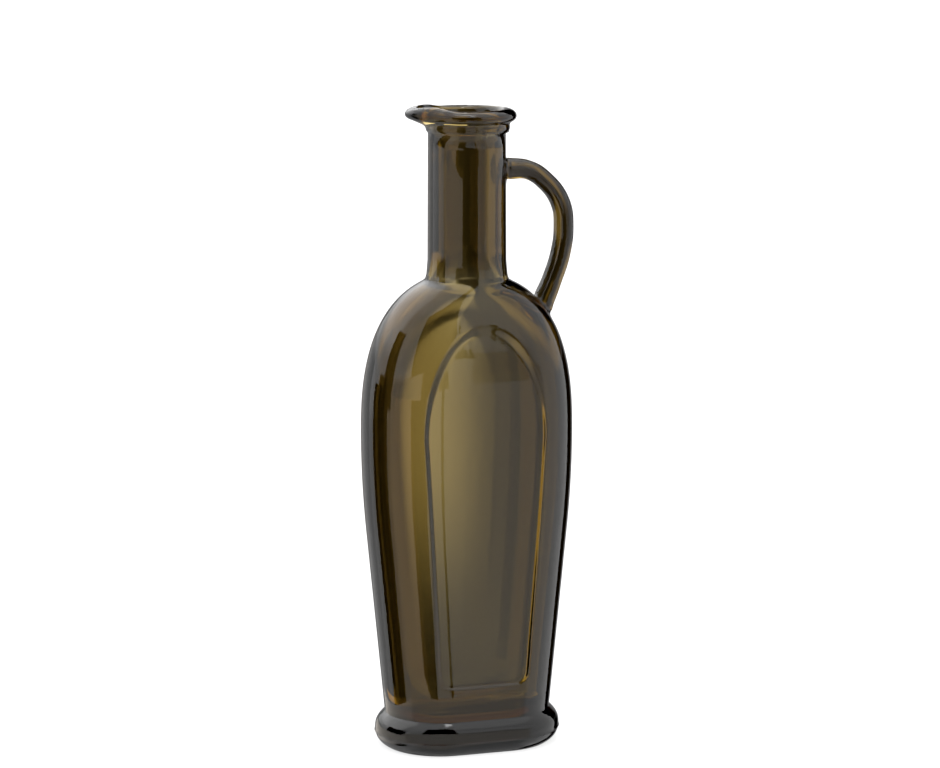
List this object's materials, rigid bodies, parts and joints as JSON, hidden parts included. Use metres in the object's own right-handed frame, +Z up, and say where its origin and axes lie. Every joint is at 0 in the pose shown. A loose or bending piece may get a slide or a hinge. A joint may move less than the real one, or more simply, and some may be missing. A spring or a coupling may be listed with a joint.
{
  "type": "glass oil bottle",
  "caption": "Empty dark glass oil bottle with an oval tapering body, arched label panels, round neck, pouring lip and loop handle.",
  "frame": {"origin": "on the neck's axis, on the plane that the foot stands on", "axes": "+Z up along the neck, -X the way the pouring lip points, +X the side of the handle, -Y and +Y the broad faces with their label panels"},
  "size_m": [0.0732, 0.043, 0.2153],
  "materials": {
    "dark_glass": "gloss"
  },
  "bodies": {
    "root": {"bottle": "dark_glass"}
  },
  "joints": []
}
